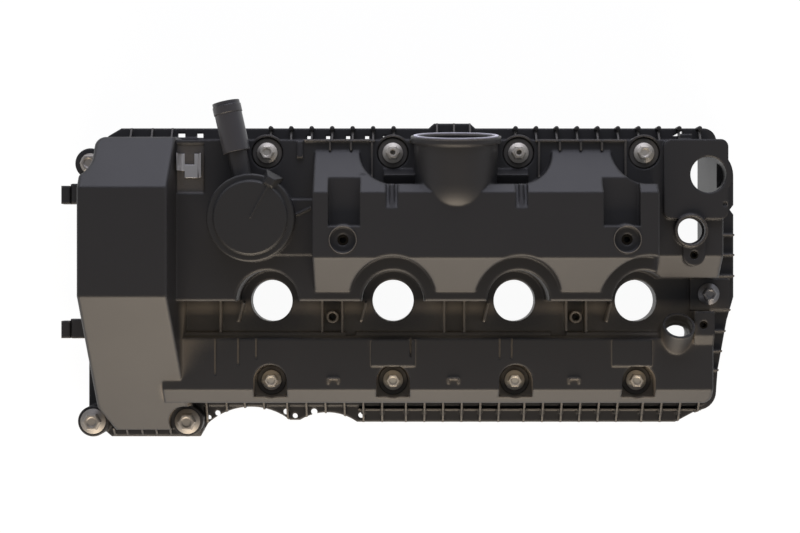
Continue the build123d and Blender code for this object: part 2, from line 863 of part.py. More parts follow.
# Solid forms of the moulding, before it is hollowed
outer_forms = [
    body_form(0, (0, floor_z)),
    plateau_form(0, 0),
    box_form(0, floor_z),
    cam_form(0, 0),
    dome_form(0, 0),
    port_form(0),
]
rim_plan = footprint(rim_out)
cam_screw_pad = [
    (cam_pad_y_steps[0], floor_z - wall),
    (cam_pad_y_steps[0], cam_screw_z),
    (cam_pad_y_steps[1], cam_screw_z),
    (cam_pad_y_steps[2], cam_z - rib_bite),
    (cam_pad_y_steps[2], floor_z - wall),
]
channel_cut = [
    (channel_y[0], box_z),
    (channel_y[1], channel_end_z),
    (channel_y[1], dome_z),
    (channel_y[0], dome_z),
]
with BuildPart() as solid_forms:
    for form in outer_forms:
        add(form)
    slab(end_bay[0:2], end_bay[2:4], (0, end_seat_z - end_block_t), Mode.SUBTRACT)
    extrude(rim_plan, amount=rim_h)
    extrude(flange_plan.sketch, amount=flange_t)
    with BuildSketch() as timing_lugs:
        with Locations(*timing_places):
            Circle(timing_lug_radius)
    extrude(timing_lugs.sketch, amount=timing_seat_z)
    add(flange_ribs.part)
    slab(plate_box[0:2], plate_box[2:4], (plate_under_z, plate_z), corner=plate_corner)
    post(filler_place, filler_boss, (filler_boss_z, plate_z))
    post(sensor_place, sensor_boss, (plateau_z - wall, sensor_z))
    post(sensor_screw_place, sensor_screw_boss, (end_foot_z, sensor_screw_z))
    slab(
        (sensor_screw_place[0] - sensor_screw_boss, sensor_screw_place[0] + sensor_screw_boss),
        (sensor_screw_place[1], sensor_place[1]),
        (plateau_z - wall, sensor_screw_z),
    )
    cylinder_on(cam_sensor_plane, cam_sensor_boss, (-cam_sensor_depth, 0))
    post(cam_sensor_well, cam_sensor_boss, (floor_z - wall, cam_sensor_well_z))
    across(cam_screw_pad, (cam_pad_x, body_right_x))
    post(vent_place, chamber_radius, (chamber_under_z, chamber_top))
    cylinder_on(pipe_plane, neck_radius, (neck_start, neck_end))
    post(vent_place, chamber_bore, (chamber_floor, chamber_top), Mode.SUBTRACT)
    well_slot(well_slot_radius, well_slot_end_y, (outboard_seat_z, cam_z))
    post(timing_places[1], timing_notch_radius, (timing_seat_z, dome_z), Mode.SUBTRACT)
    slab(end_block[0:2], end_block[2:4], (end_seat_z - end_block_t, end_seat_z))
    for pocket_x in cup_pocket:
        slab(pocket_x, (cup_pocket_y, north_y), (cup_pocket_z, dome_z), Mode.SUBTRACT)
    for x in channel_x:
        across(channel_cut, (x - channel_half, x + channel_half), Mode.SUBTRACT)

# Raised details on the upper side
channel_rib = [
    (channel_y[0] - rib_bite, box_z - 2 * rib_bite),
    (channel_y[0] - rib_bite, box_z),
    (box_recess_y, channel_rib_end_z),
    (box_recess_y, channel_end_z - rib_bite),
]
wing = [
    (wing_y[0], plateau_z - rib_bite),
    (wing_y[0], wing_z[0]),
    (wing_y[1], wing_z[1]),
    (wing_y[2], plateau_z - rib_bite),
]
vent_rib_side = [
    (vent_rib[2], plateau_z - rib_bite),
    (vent_rib[2], vent_rib_z[0]),
    (vent_rib[3], vent_rib_z[1]),
    (vent_rib[3], plateau_z - rib_bite),
]
with BuildPart() as details:
    slab(vent_pad[0:2], vent_pad[2:4], (plateau_z - rib_bite, plateau_z + vent_pad_h))
    post(vent_place, chamber_radius - wall / 2, (plateau_z - wall, plateau_z + wall), Mode.SUBTRACT)
    with BuildSketch(Plane.XY.offset(plateau_z - rib_bite)) as brace:
        with Locations(Location(vent_brace[0:2], vent_brace_turn)):
            Rectangle(vent_brace[2], rib_t)
    extrude(brace.sketch, amount=vent_brace_h + rib_bite)
    across(vent_rib_side, vent_rib[0:2])
    for x in channel_x:
        across(channel_rib, (x - channel_rib_half, x + channel_rib_half))
    for side in (-1, 1):
        across(wing, sorted((side * wing_x[0], side * wing_x[1])))
    slab(plate_tab[0:2], plate_tab[2:4], plate_tab_z)
    for span in lip_spans:
        slab(span, (north_y - lip_t, north_y), (plateau_z - rib_bite, plateau_z + lip_h))
    for x in lip_rib_x:
        slab(
            (x - rib_t / 2, x + rib_t / 2),
            (box_north_y - rib_bite, north_y - rib_bite),
            (plateau_z - rib_bite, plateau_z + lip_h),
        )
    for x in lip_rib_long_x:
        slab(
            (x - rib_t / 2, x + rib_t / 2),
            (lip_rib_long_y, north_y - rib_bite),
            (plateau_z - rib_bite, plateau_z + lip_h),
        )
    with BuildSketch(Plane.XY.offset(floor_z - rib_bite)) as valley_ribs:
        with Locations(*[(x, (plateau_edge_y + cam_foot_y) / 2) for x in valley_rib_x]):
            Rectangle(rib_t, plateau_edge_y - cam_foot_y + 2 * rib_bite)
    extrude(valley_ribs.sketch, amount=valley_rib_z[0] - floor_z)
    with BuildSketch(Plane.XY.offset(floor_z - rib_bite)) as gussets:
        for x in well_x:
            with Locations(Location((x + gusset_offset[0], gusset_offset[1]), gusset_turn)):
                Rectangle(*gusset_size)
    extrude(gussets.sketch, amount=gusset_z - floor_z)
    for pad in cam_pads:
        slab(pad, cam_pad_y, (cam_z - rib_bite, cam_z + pad_h))
    for x in staple_x:
        with BuildSketch(Plane.XY.offset(cam_z - rib_bite)) as staple:
            with Locations((x, sum(staple_y) / 2)):
                Rectangle(2 * staple_half, staple_y[1] - staple_y[0])
            with Locations((x, sum(staple_y) / 2 - staple_t)):
                Rectangle(
                    2 * (staple_half - staple_t),
                    staple_y[1] - staple_y[0],
                    mode=Mode.SUBTRACT,
                )
        extrude(staple.sketch, amount=staple_h)

# Tubes, posts and bosses inside and on the shell
insert_bore = insert_out + fit_gap / 2
small_bore = small_out + fit_gap / 2
screw_rows = ((inboard_y, inboard_seat_z), (outboard_y, outboard_seat_z))
small_tops = (
    (valley_places[0], valley_boss_z),
    (valley_places[1], valley_boss_z),
    (sensor_screw_place, sensor_screw_z),
    (cam_screw_place, cam_screw_z),
)
baffle_posts = []
for x in baffle_screw_x:
    for y in baffle_screw_y:
        if x < box_left_x:
            baffle_posts.append((x, y, plateau_z - wall / 2))
        elif y > cup_pocket_y:
            baffle_posts.append((x, y, cup_pocket_z - wall / 2))
        else:
            baffle_posts.append((x, y, box_z - wall / 2))
with BuildPart() as fittings:
    for x in well_x:
        post((x, 0), well_radius + well_wall, (well_collar_z, floor_z))
        post((x, 0), well_skirt_radius, (seal_seat_z, well_collar_z + wall))
        post((x, 0), spigot_radius, (boss_clear, seal_seat_z))
        for row_y, seat_z in screw_rows:
            post((x, row_y), post_radius, (boss_clear, seat_z - pocket_depth))
            post((x, row_y), boss_radius, (seat_z - pocket_depth - wall, seat_z))
        post((x, inboard_y), inboard_boss_radius, (inboard_seat_z - 2 * wall, plateau_z))
    post(timing_places[1], timing_post_radius, (0, timing_seat_z))
    post(end_bolt_place, timing_post_radius, (0, end_seat_z))
    post(vent_place, valve_seat_radius, (chamber_floor - wall, valve_seat_z))
    cylinder_on(port_plane, port_radius, (-port_collar, 0))
    cylinder_on(cam_sensor_plane, cam_sensor_boss, (-cam_sensor_collar, 0))
    for place in cup_places:
        post(place, cup_radius + insert_wall, (box_z - cup_depth - insert_length - wall, box_z - cup_step))
        post(place, cup_radius + cup_ring[0], (box_z - cup_depth, box_z + cup_ring[1]))
    for place, top_z in small_tops:
        post(place, small_out + insert_wall, (top_z - small_length - wall, top_z))
    for x, y, top_z in baffle_posts:
        post((x, y), baffle_post, (baffle_z, top_z))

# Everything bored or cut out of the finished walls
with BuildPart() as cuts:
    for x in well_x:
        post((x, 0), well_radius, (well_collar_z, floor_z + wall))
        post((x, 0), well_skirt_bore, (0, well_collar_z))
        for row_y, seat_z in screw_rows:
            post((x, row_y), grommet_radius + fit_gap, (seat_z - pocket_depth, seat_z + fit_gap))
            post((x, row_y), screw_bore, (0, seat_z))
        post((x, inboard_y), inboard_well_radius, (inboard_seat_z, plateau_z + wall))
    for place in timing_places:
        post(place, big_bore, (0, timing_seat_z + wall))
    post(end_bolt_place, big_bore, (0, end_seat_z + wall))
    post(vent_place, bayonet_radius, (bayonet_low, bayonet_high))
    post(vent_place, valve_bore, (chamber_under_z - wall, valve_seat_z + wall))
    with BuildSketch(Plane.XY.offset(bayonet_low)) as entries:
        with Locations(vent_place):
            with PolarLocations(entry_reach / 2, lug_count, start_angle=lug_start - cap_turn):
                Rectangle(entry_reach, lug_width + 2 * lug_play)
    extrude(entries.sketch, amount=chamber_top + wall - bayonet_low)
    cylinder_on(pipe_plane, neck_bore, (neck_start - wall, neck_end + wall))
    cylinder_on(port_plane, port_bore, (-port_collar - wall, wall))
    with BuildSketch(port_plane.offset(wall)) as seal_groove:
        Circle(port_seal_out)
        Circle(port_seal_in, mode=Mode.SUBTRACT)
    extrude(seal_groove.sketch, amount=-port_seal_depth - wall)
    post(filler_place, filler_radius, (filler_under_z, plate_z + wall))
    post(sensor_place, sensor_radius, (filler_under_z, sensor_z + wall))
    post(sensor_place, sensor_cup, (plateau_z, sensor_z + wall))
    cylinder_on(cam_sensor_plane, sensor_radius, (cam_sensor_lip[0] - rib_bite, wall))
    cylinder_on(cam_sensor_plane, sensor_cup, (cam_sensor_lip[1], wall))
    cylinder_on(cam_sensor_plane, sensor_cup, (-cam_sensor_collar, cam_sensor_lip[0]))
    post(cam_sensor_well, sensor_radius, (open_z, cam_sensor_well_z - wall))
    post(plate_dimple[0:2], plate_dimple[2], (plate_z - wall / 3, plate_z + wall))
    slab(clip_panel[0:2], clip_panel[2:4], (plateau_z - clip_panel_depth, plateau_z + wall))
    for span in cam_notches:
        slab(span, cam_notch_y, (floor_z, cam_z + wall))
    for place in cup_places:
        post(place, cup_radius, (box_z - cup_depth, box_z + wall))
        post(place, insert_bore, (box_z - cup_depth - insert_length, box_z))
    for place, top_z in small_tops:
        post(place, small_bore, (top_z - small_length, top_z + wall))
    for x, y, top_z in baffle_posts:
        post((x, y), baffle_screw_radius + fit_gap, (baffle_z, baffle_z + baffle_screw_grip + wall))
    for x, end_y in cam_lines:
        slab(
            (x - cam_line_t / 2, x + cam_line_t / 2),
            (end_y, cam_edge_y),
            (cam_z - cam_line_depth, cam_z + wall),
        )
    with BuildSketch() as flange_holes:
        for x, y, radius in drain_holes:
            with Locations((x, y)):
                Circle(radius)
        with Locations(*[(x, slot_y) for x in slot_x]):
            Rectangle(*slot_size)
        for x, width in window_size:
            with Locations((x, sum(window_y) / 2)):
                Rectangle(width, window_y[1] - window_y[0])
        with BuildLine():
            Polyline(*flange_gap, close=True)
        make_face()
    extrude(flange_holes.sketch, amount=flange_t + wall)
    with BuildSketch() as groove_plan:
        add(footprint(groove_in + groove_w))
        add(footprint(groove_in), mode=Mode.SUBTRACT)
    extrude(groove_plan.sketch, amount=groove_depth)

with BuildPart() as side_clips:
    for span in side_clip_y:
        slab((side_clip_groove_x[0], flange_left_x + wall), span, (0, side_clip_z))
        slab(
            (side_clip_x, side_clip_groove_x[0]),
            (span[0], span[1] - rib_t),
            (0, side_clip_nose_z),
        )
        slab(side_clip_groove_x, span, (side_clip_groove_z, side_clip_z), Mode.SUBTRACT)

with BuildPart() as cover_shell:
    add(solid_forms.part)
    add(hollow.part, mode=Mode.SUBTRACT)
    add(details.part)
    add(side_clips.part)
    add(fittings.part)
    add(cuts.part, mode=Mode.SUBTRACT)
cover_shell.part.label = "cover_shell"
export_step(cover_shell.part, "parts/cover_shell.step")


def turned(points, place):
    """A turned piece about an upright axis, from (radius, z) points."""
    middle = (place[0], place[1], 0)
    with BuildPart() as piece:
        with BuildSketch(Plane(origin=middle, x_dir=(1, 0, 0), z_dir=(0, -1, 0))) as half:
            with BuildLine():
                Polyline(*points, close=True)
            make_face()
        revolve(half.sketch, axis=Axis(middle, (0, 0, 1)))
    return piece.part


def ring(inner, outer, z, place):
    """A plain ring of rectangular section."""
    return turned([(inner, z[0]), (outer, z[0]), (outer, z[1]), (inner, z[1])], place)


def save(part, name):
    """Labels one finished piece and writes it."""
    part.label = name
    export_step(part, f"parts/{name}.step")


# Rubber: the rim's gasket, the rings of the plug wells and the rings under the screw heads
with BuildPart() as perimeter_gasket:
    with BuildSketch(Plane.XY.offset(-gasket_stand)) as gasket_plan:
        add(footprint(groove_in + groove_w - gasket_gap))
        add(footprint(groove_in + gasket_gap), mode=Mode.SUBTRACT)
    extrude(gasket_plan.sketch, amount=groove_depth + gasket_stand)
save(perimeter_gasket.part, "perimeter_gasket")

for number, x in enumerate(well_x, start=1):
    lip_section = [
        (spigot_radius + fit_gap, -gasket_stand),
        (seal_out - seal_chamfer, -gasket_stand),
        (seal_out, boss_clear),
        (seal_out, seal_seat_z - seal_chamfer),
        (seal_out - seal_chamfer, seal_seat_z),
        (spigot_radius + fit_gap, seal_seat_z),
    ]
    save(turned(lip_section, (x, 0)), f"plug_seal_{number}")


def screw(place, under_z, radius, shank, flange, flange_h, across_flats, head_h, socket=0.0):
    """A flanged hexagon screw, waisted above its thread, or with a threaded socket in its head."""
    with BuildPart() as piece:
        post(place, radius, (-screw_stick_out, thread_top_z))
        post(place, shank, (thread_top_z, under_z))
        post(place, flange, (under_z, under_z + flange_rim))
        with Locations((place[0], place[1], under_z + flange_rim)):
            Cone(flange, across_flats / 2, flange_h, align=(Align.CENTER, Align.CENTER, Align.MIN))
        with BuildSketch(Plane.XY.offset(under_z)) as hexagon:
            with Locations(place):
                RegularPolygon(across_flats / 2, 6, major_radius=False)
        extrude(hexagon.sketch, amount=head_h)
        chamfer(piece.edges().group_by(Axis.Z)[-1], head_h / 8)
        head_top = (place[0], place[1], under_z + head_h)
        with Locations(head_top):
            Cone(
                across_flats / 4,
                across_flats / 3,
                head_dish,
                align=(Align.CENTER, Align.CENTER, Align.MAX),
                mode=Mode.SUBTRACT,
            )
        if socket > 0:
            collar_z = under_z + head_h
            post(place, socket + socket_wall, (collar_z - head_dish, collar_z + socket_collar))
            post(place, socket, (under_z, collar_z + socket_collar), Mode.SUBTRACT)
    return piece.part


stud_numbers = (2, 3)
for row, row_y, seat_z in (
    ("inboard", inboard_y, inboard_seat_z),
    ("outboard", outboard_y, outboard_seat_z),
):
    for number, x in enumerate(well_x, start=1):
        place = (x, row_y)
        low_z = seat_z - pocket_depth
        lip_z = seat_z + grommet_lip
        under_z = lip_z + sleeve_proud
        grommet_section = [
            (sleeve_out + fit_gap, low_z),
            (grommet_radius, low_z),
            (grommet_radius, seat_z),
            (grommet_lip_radius, seat_z),
            (grommet_lip_radius, lip_z - grommet_chamfer),
            (grommet_lip_radius - grommet_chamfer, lip_z),
            (sleeve_out + fit_gap, lip_z),
        ]
        save(turned(grommet_section, place), f"{row}_grommet_{number}")
        save(ring(sleeve_in, sleeve_out, (low_z, under_z), place), f"{row}_sleeve_{number}")
        is_stud = row == "inboard" and number in stud_numbers
        name = f"{row}_stud_{number}" if is_stud else f"{row}_bolt_{number}"
        screw_part = screw(
            place,
            under_z,
            screw_radius,
            screw_shank_radius,
            screw_flange_radius,
            screw_flange_h,
            screw_head_af,
            screw_head_h,
            socket_radius if is_stud else 0.0,
        )
        save(screw_part, name)

big_screws = [(f"timing_bolt_{i}", f"timing_sleeve_{i}", place, timing_seat_z)
              for i, place in enumerate(timing_places, start=1)]
big_screws.append(("end_bolt", "end_sleeve", end_bolt_place, end_seat_z))
big_heads = {
    "timing_bolt_3": (hidden_flange_radius, big_head_af),
    "end_bolt": (end_flange_radius, end_head_af),
}
for bolt_name, sleeve_name, place, seat_z in big_screws:
    under_z = seat_z + sleeve_proud
    save(ring(big_sleeve_in, big_bore - fit_gap, (0, under_z), place), sleeve_name)
    flange, head_af = big_heads.get(bolt_name, (big_flange_radius, big_head_af))
    screw_part = screw(
        place, under_z, big_radius, big_shank_radius, flange, big_flange_h, head_af, big_head_h
    )
    save(screw_part, bolt_name)

# Vent valve: cap with bayonet lugs, its ring, the diaphragm and the spring over it
cap_base = chamber_top + cap_gap
lug_root = skirt_radius - skirt_wall / 2
with BuildPart() as vent_cap:
    post(vent_place, cap_radius, (cap_base, cap_base + cap_band))
    post(vent_place, cap_disc_radius, (cap_base, cap_base + cap_band + cap_disc_h))
    rings = vent_cap.edges().filter_by(GeomType.CIRCLE)
    chamfer(rings.group_by(Axis.Z)[-1] + rings.group_by(Axis.Z)[-2].group_by(SortBy.RADIUS)[-1], cap_edge)
    post(vent_place, skirt_radius, (skirt_z, cap_base))
    post(vent_place, skirt_radius - skirt_wall, (skirt_z, cap_base), Mode.SUBTRACT)
    with BuildSketch(Plane.XY.offset(skirt_z)) as lugs:
        with Locations(vent_place):
            with PolarLocations((lug_root + lug_reach) / 2, lug_count, start_angle=lug_start):
                Rectangle(lug_reach - lug_root, lug_width)
    extrude(lugs.sketch, amount=lug_h)
    with BuildSketch(Plane.XY.offset(cap_base)) as tab:
        with Locations(Location(vent_place, tab_angle)):
            with Locations((tab_middle, 0)):
                Rectangle(tab_length, tab_width)
    extrude(tab.sketch, amount=tab_h, taper=tab_slope)
    with BuildSketch(Plane.XY.offset(cap_base + cap_band)) as ridge:
        with Locations(Location(vent_place, tab_angle)):
            with Locations((tab_middle / 2, 0)):
                Rectangle(tab_middle, cap_ridge[0])
    extrude(ridge.sketch, amount=cap_disc_h + cap_ridge[1])
    with BuildSketch(Plane.XY.offset(seal_ring_z[0])) as ring_seat:
        with Locations(vent_place):
            Circle(skirt_radius)
            Circle(skirt_radius - seal_ring_depth, mode=Mode.SUBTRACT)
    extrude(ring_seat.sketch, amount=seal_ring_z[1] - seal_ring_z[0], mode=Mode.SUBTRACT)
save(vent_cap.part, "vent_cap")
save(
    ring(
        skirt_radius - seal_ring_depth + fit_gap / 2,
        chamber_bore - fit_gap,
        (seal_ring_z[0] + fit_gap, seal_ring_z[1] - fit_gap),
        vent_place,
    ),
    "vent_seal",
)

diaphragm_section = [
    (0, valve_seat_z),
    (valve_seat_radius, valve_seat_z),
    (valve_seat_radius + 2.0, valve_seat_z),
    (15.0, valve_seat_z + 2.0),
    (19.0, valve_seat_z - 1.0),
    (23.5, valve_seat_z),
    (23.5, chamber_floor),
    (diaphragm_radius, chamber_floor),
    (diaphragm_radius, chamber_floor + 3.2),
    (23.5, chamber_floor + 3.2),
    (19.0, valve_seat_z),
    (15.0, valve_seat_z + 3.0),
    (valve_seat_radius + 2.0, valve_seat_z + 1.0),
    (0, valve_seat_z + 1.0),
]
save(turned(diaphragm_section, vent_place), "vent_diaphragm")

spring_base = valve_seat_z + 1.0 + spring_wire
with BuildPart() as vent_spring:
    with BuildLine() as coil:
        Helix(
            spring_height / spring_turns,
            spring_height,
            spring_radius,
            center=(vent_place[0], vent_place[1], spring_base),
        )
    with BuildSketch(Plane(origin=coil.line @ 0, z_dir=coil.line % 0)):
        Circle(spring_wire)
    sweep()
save(vent_spring.part, "vent_spring")

with BuildPart() as vent_pipe:
    cylinder_on(pipe_plane, pipe_radius, (pipe_start, pipe_end))
    cylinder_on(pipe_plane, pipe_bead_radius, (pipe_end - pipe_bead_length, pipe_end - pipe_bead_length / 3))
    cylinder_on(pipe_plane, neck_radius + fit_gap / 2, (pipe_start, neck_end), Mode.SUBTRACT)
    cylinder_on(pipe_plane, pipe_bore, (neck_end, pipe_end), Mode.SUBTRACT)
save(vent_pipe.part, "vent_pipe")

# Port seal, and the spring clip beside the dome
with BuildPart() as port_seal:
    with BuildSketch(port_plane.offset(-port_seal_depth)) as seal_plan:
        Circle(port_seal_out - fit_gap / 2)
        Circle(port_seal_in + fit_gap / 2, mode=Mode.SUBTRACT)
    extrude(seal_plan.sketch, amount=port_seal_depth + port_seal_stand)
save(port_seal.part, "port_seal")

clip_floor_z = plateau_z - clip_panel_depth
with BuildPart() as spring_clip:
    with BuildSketch(Plane.XZ.offset(-clip_y[1])) as strip:
        with BuildLine() as bend:
            FilletPolyline(
                (clip_x[0], clip_top_z),
                (clip_x[0] + clip_lean, clip_floor_z),
                (clip_x[1] - clip_lean, clip_floor_z),
                (clip_x[1], clip_top_z),
                radius=clip_bend,
            )
            offset(amount=clip_t, side=Side.LEFT, closed=True)
        make_face()
    extrude(strip.sketch, amount=clip_y[1] - clip_y[0])
    slab(clip_gap_x, (clip_gap_y, clip_y[1]), (clip_floor_z, dome_z), Mode.SUBTRACT)
    clip_left = (clip_x[0] - clip_t, clip_gap_x[0])
    slab(clip_left, (clip_y[0], clip_foot_y), (clip_floor_z, dome_z), Mode.SUBTRACT)
save(spring_clip.part, "spring_clip")

# Threaded inserts
for number, place in enumerate(cup_places, start=1):
    top = box_z - cup_depth
    save(ring(insert_thread, insert_out, (top - insert_length, top), place), f"cup_insert_{number}")
small_names = ("valley_insert_1", "valley_insert_2", "sensor_insert_1", "sensor_insert_2")
for name, (place, top_z) in zip(small_names, small_tops):
    save(ring(small_thread, small_out, (top_z - small_length, top_z), place), name)

# Baffle plate with a turned-down lip and drain slots, and its screws
baffle_x = baffle_box[0:2]
baffle_y = baffle_box[2:4]
with BuildPart() as baffle_plate:
    slab(baffle_x, baffle_y, (baffle_z - baffle_t - baffle_lip, baffle_z), corner=plate_corner)
    slab(
        (baffle_x[0] + baffle_t, baffle_x[1] - baffle_t),
        (baffle_y[0] + baffle_t, baffle_y[1] - baffle_t),
        (baffle_z - baffle_t - baffle_lip, baffle_z - baffle_t),
        Mode.SUBTRACT,
        plate_corner - baffle_t,
    )
    with BuildSketch(Plane.XY.offset(baffle_z - baffle_t)) as openings:
        with Locations(*[(x, y) for x, y, top_z in baffle_posts]):
            Circle(baffle_screw_radius + 2 * fit_gap)
        with Locations((sum(baffle_x) / 2, sum(baffle_y) / 2)):
            with GridLocations(baffle_slot_pitch, 2 * baffle_slot_pitch, 5, 2):
                Rectangle(*baffle_slot)
    extrude(openings.sketch, amount=baffle_t, mode=Mode.SUBTRACT)
save(baffle_plate.part, "baffle_plate")

with BuildPart() as baffle_screws:
    head_z = baffle_z - baffle_t
    with BuildSketch(Plane.XY.offset(head_z - baffle_t)) as heads:
        with Locations(*[(x, y) for x, y, top_z in baffle_posts]):
            Circle(baffle_screw_head)
    extrude(heads.sketch, amount=baffle_t)
    with BuildSketch(Plane.XY.offset(head_z - baffle_t)) as shanks:
        with Locations(*[(x, y) for x, y, top_z in baffle_posts]):
            Circle(baffle_screw_radius)
    extrude(shanks.sketch, amount=2 * baffle_t + baffle_screw_grip)
save(baffle_screws.part, "baffle_screws")
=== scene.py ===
"""Looks for a moulded engine valve cover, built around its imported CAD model.

The cover is seen from straight above on a white table, between a cool softbox on its inboard side and a
warm one on its outboard side. Sizes are in millimetres until `mm` turns them to Blender's metres.
"""

import logging
import math
from dataclasses import dataclass, field
from enum import Enum

import bpy
from mathutils import Matrix, Vector


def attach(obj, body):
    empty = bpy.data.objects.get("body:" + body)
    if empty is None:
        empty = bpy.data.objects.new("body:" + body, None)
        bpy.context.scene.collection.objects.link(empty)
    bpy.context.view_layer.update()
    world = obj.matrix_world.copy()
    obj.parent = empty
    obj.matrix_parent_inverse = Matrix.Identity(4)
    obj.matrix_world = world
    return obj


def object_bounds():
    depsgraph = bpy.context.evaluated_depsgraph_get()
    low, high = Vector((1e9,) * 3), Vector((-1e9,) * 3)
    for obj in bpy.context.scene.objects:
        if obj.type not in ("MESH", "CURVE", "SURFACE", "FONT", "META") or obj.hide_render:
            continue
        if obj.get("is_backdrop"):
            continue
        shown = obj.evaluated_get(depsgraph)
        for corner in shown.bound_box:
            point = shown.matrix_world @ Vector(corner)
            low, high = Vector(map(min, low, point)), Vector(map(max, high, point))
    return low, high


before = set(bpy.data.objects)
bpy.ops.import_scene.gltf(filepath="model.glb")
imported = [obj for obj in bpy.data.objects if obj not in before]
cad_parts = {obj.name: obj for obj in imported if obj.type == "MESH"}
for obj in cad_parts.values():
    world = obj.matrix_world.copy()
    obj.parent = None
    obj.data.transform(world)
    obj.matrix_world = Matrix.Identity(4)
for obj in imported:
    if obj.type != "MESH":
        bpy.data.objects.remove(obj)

log = logging.getLogger("valve_cover")

WHITE = (1.0, 1.0, 1.0, 1.0)

Point = tuple[float, float, float]
Limit = tuple[str, float, float]
Range = tuple[float, float]
Tree = bpy.types.NodeTree
Socket = bpy.types.NodeSocket


def mm(*values: float) -> tuple[float, ...]:
    """Millimetres as metres."""
    return tuple(value / 1000 for value in values)


def linear(hex_colour: str) -> tuple[float, float, float, float]:
    """Turns an sRGB hex colour to linear.

    Args:
        hex_colour: six hex digits with a leading hash.

    Returns:
        Linear red, green and blue, and an alpha of 1.
    """
    channels = [int(hex_colour[i : i + 2], 16) / 255 for i in (1, 3, 5)]
    return (*[c / 12.92 if c <= 0.04045 else ((c + 0.055) / 1.055) ** 2.4 for c in channels], 1.0)


def add_node(tree: Tree, kind: str, links: dict | None = None, **settings) -> bpy.types.Node:
    """Adds one node to a tree.

    Args:
        tree: the node tree.
        kind: the node's type name without its ShaderNode prefix.
        links: input name or number to the output socket that feeds it, or to a plain value.
        settings: attributes to set on the node.

    Returns:
        The new node.
    """
    node = tree.nodes.new("ShaderNode" + kind)
    for name, value in settings.items():
        setattr(node, name, value)
    for name, value in (links or {}).items():
        if isinstance(value, Socket):
            tree.links.new(value, node.inputs[name])
        else:
            node.inputs[name].default_value = value
    return node


def remap(tree: Tree, value: Socket, source: Range, target: Range = (0.0, 1.0)) -> Socket:
    """Stretches a value from one range to another, held to its ends.

    Args:
        tree: the node tree.
        value: the socket that feeds it.
        source: the two values that turn into the ends of the target.
        target: the range that comes out.

    Returns:
        The socket with the new value.
    """
    (low, high), (start, end) = source, target
    links = {"Value": value, "From Min": low, "From Max": high, "To Min": start, "To Max": end}
    return add_node(tree, "MapRange", links).outputs["Result"]


def calculate(tree: Tree, operation: str, first: object, second: object) -> Socket:
    """Puts two values, or sockets, through one sum."""
    return add_node(tree, "Math", {0: first, 1: second}, operation=operation).outputs[0]


def blend(tree: Tree, share: object, first: object, second: object) -> Socket:
    """Mixes two colours, or sockets, by the share of the second.

    Args:
        tree: the node tree.
        share: the second colour's share, as a value or a socket.
        first: the colour at a share of 0.
        second: the colour at a share of 1.

    Returns:
        The socket with the mixed colour.
    """
    # The Mix node has its colours on inputs 6 and 7 and output 2.
    return add_node(tree, "Mix", {"Factor": share, 6: first, 7: second}, data_type="RGBA").outputs[2]


class Body(Enum):
    """Rigid bodies of the part that pieces ride on."""

    COVER = "cover"
    CAP = "cap"


